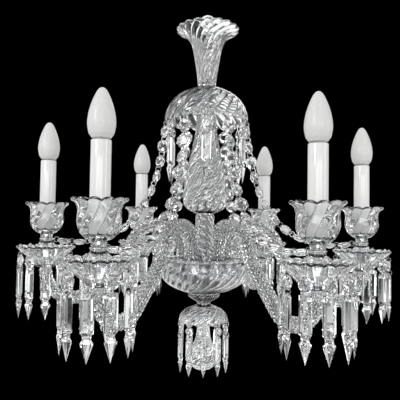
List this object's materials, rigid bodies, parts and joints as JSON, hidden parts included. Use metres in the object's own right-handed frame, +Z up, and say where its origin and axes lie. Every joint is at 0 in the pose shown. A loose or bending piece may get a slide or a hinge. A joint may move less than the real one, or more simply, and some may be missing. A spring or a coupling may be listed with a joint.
{
  "type": "crystal chandelier",
  "caption": "Crystal chandelier with S-shaped glass arms, candle lights in scalloped cups, octagon garlands and cut prism drops round a central glass column.",
  "frame": {"origin": "centre of the hole in the hanging eye, on the main axis", "axes": "+Z up along the central rod, +Y along the axis of the hanging eye towards the back, the front faces -Y"},
  "size_m": [0.6256, 0.5547, 0.5995],
  "materials": {
    "crystal": "cut and polished, clear",
    "frosted_glass": "frosted white",
    "white_sleeve": "gloss white",
    "nickel": "polished nickel",
    "steel": "plated steel",
    "holder_plastic": "moulded",
    "wire_insulation": "clear to pale sheath"
  },
  "bodies": {
    "frame": {"hanging_loop": "nickel", "central_rod": "steel", "rod_fittings": "steel", "crown_trumpet": "crystal", "canopy_dome": "crystal", "baluster": "crystal", "stem_column": "crystal", "arm_hub": "steel", "bowl": "crystal", "neck_dish": "crystal", "lower_bell": "crystal", "finial": "crystal", "bell_drops": "crystal", "arm_ferrules": "nickel", "candle_fittings": "nickel", "lampholders": "holder_plastic", "wiring": "wire_insulation", "bobeche_drops": "crystal", "arm_1": "crystal", "bobeche_1": "crystal", "cup_1": "crystal", "sleeve_1": "white_sleeve", "arm_2": "crystal", "bobeche_2": "crystal", "cup_2": "crystal", "sleeve_2": "white_sleeve", "arm_3": "crystal", "bobeche_3": "crystal", "cup_3": "crystal", "sleeve_3": "white_sleeve", "arm_4": "crystal", "bobeche_4": "crystal", "cup_4": "crystal", "sleeve_4": "white_sleeve", "arm_5": "crystal", "bobeche_5": "crystal", "cup_5": "crystal", "sleeve_5": "white_sleeve", "arm_6": "crystal", "bobeche_6": "crystal", "cup_6": "crystal", "sleeve_6": "white_sleeve"},
    "bulb_1": {"bulb_1": "frosted_glass"},
    "bulb_2": {"bulb_2": "frosted_glass"},
    "bulb_3": {"bulb_3": "frosted_glass"},
    "bulb_4": {"bulb_4": "frosted_glass"},
    "bulb_5": {"bulb_5": "frosted_glass"},
    "bulb_6": {"bulb_6": "frosted_glass"},
    "strand_1": {"strand_1": "crystal"},
    "strand_2": {"strand_2": "crystal"},
    "strand_3": {"strand_3": "crystal"},
    "strand_4": {"strand_4": "crystal"},
    "strand_5": {"strand_5": "crystal"},
    "strand_6": {"strand_6": "crystal"},
    "dome_drop_1": {"dome_drop_1": "crystal"},
    "dome_drop_2": {"dome_drop_2": "crystal"},
    "dome_drop_3": {"dome_drop_3": "crystal"},
    "dome_drop_4": {"dome_drop_4": "crystal"},
    "dome_drop_5": {"dome_drop_5": "crystal"},
    "dome_drop_6": {"dome_drop_6": "crystal"}
  },
  "joints": [
    {"name": "bulb_1_screw", "type": "hinge", "parent": "frame", "child": "bulb_1", "pos_m": [0.1325, -0.2295, -0.2375], "axis": [0, 0, 1], "range_deg": [0, 900]},
    {"name": "bulb_2_screw", "type": "hinge", "parent": "frame", "child": "bulb_2", "pos_m": [0.265, 0, -0.2375], "axis": [0, 0, 1], "range_deg": [0, 900]},
    {"name": "bulb_3_screw", "type": "hinge", "parent": "frame", "child": "bulb_3", "pos_m": [0.1325, 0.2295, -0.2375], "axis": [0, 0, 1], "range_deg": [0, 900]},
    {"name": "bulb_4_screw", "type": "hinge", "parent": "frame", "child": "bulb_4", "pos_m": [-0.1325, 0.2295, -0.2375], "axis": [0, 0, 1], "range_deg": [0, 900]},
    {"name": "bulb_5_screw", "type": "hinge", "parent": "frame", "child": "bulb_5", "pos_m": [-0.265, 0, -0.2375], "axis": [0, 0, 1], "range_deg": [0, 900]},
    {"name": "bulb_6_screw", "type": "hinge", "parent": "frame", "child": "bulb_6", "pos_m": [-0.1325, -0.2295, -0.2375], "axis": [0, 0, 1], "range_deg": [0, 900]},
    {"name": "strand_1_sway", "type": "hinge", "parent": "frame", "child": "strand_1", "pos_m": [0.03413, -0.05911, -0.1695], "axis": [0.3372, -0.5841, -0.7384], "range_deg": [-8, 8]},
    {"name": "strand_2_sway", "type": "hinge", "parent": "frame", "child": "strand_2", "pos_m": [0.06825, 0, -0.1695], "axis": [0.6744, 0, -0.7384], "range_deg": [-8, 8]},
    {"name": "strand_3_sway", "type": "hinge", "parent": "frame", "child": "strand_3", "pos_m": [0.03413, 0.05911, -0.1695], "axis": [0.3372, 0.5841, -0.7384], "range_deg": [-8, 8]},
    {"name": "strand_4_sway", "type": "hinge", "parent": "frame", "child": "strand_4", "pos_m": [-0.03413, 0.05911, -0.1695], "axis": [-0.3372, 0.5841, -0.7384], "range_deg": [-8, 8]},
    {"name": "strand_5_sway", "type": "hinge", "parent": "frame", "child": "strand_5", "pos_m": [-0.06825, 0, -0.1695], "axis": [-0.6744, 0, -0.7384], "range_deg": [-8, 8]},
    {"name": "strand_6_sway", "type": "hinge", "parent": "frame", "child": "strand_6", "pos_m": [-0.03413, -0.05911, -0.1695], "axis": [-0.3372, -0.5841, -0.7384], "range_deg": [-8, 8]},
    {"name": "dome_drop_1_sway", "type": "hinge", "parent": "frame", "child": "dome_drop_1", "pos_m": [0, -0.06825, -0.1695], "axis": [1, 0, 0], "range_deg": [-12, 12]},
    {"name": "dome_drop_2_sway", "type": "hinge", "parent": "frame", "child": "dome_drop_2", "pos_m": [0.05911, -0.03413, -0.1695], "axis": [0.5, 0.866, 0], "range_deg": [-12, 12]},
    {"name": "dome_drop_3_sway", "type": "hinge", "parent": "frame", "child": "dome_drop_3", "pos_m": [0.05911, 0.03413, -0.1695], "axis": [-0.5, 0.866, 0], "range_deg": [-12, 12]},
    {"name": "dome_drop_4_sway", "type": "hinge", "parent": "frame", "child": "dome_drop_4", "pos_m": [0, 0.06825, -0.1695], "axis": [-1, 0, 0], "range_deg": [-12, 12]},
    {"name": "dome_drop_5_sway", "type": "hinge", "parent": "frame", "child": "dome_drop_5", "pos_m": [-0.05911, 0.03413, -0.1695], "axis": [-0.5, -0.866, 0], "range_deg": [-12, 12]},
    {"name": "dome_drop_6_sway", "type": "hinge", "parent": "frame", "child": "dome_drop_6", "pos_m": [-0.05911, -0.03413, -0.1695], "axis": [0.5, -0.866, 0], "range_deg": [-12, 12]}
  ]
}
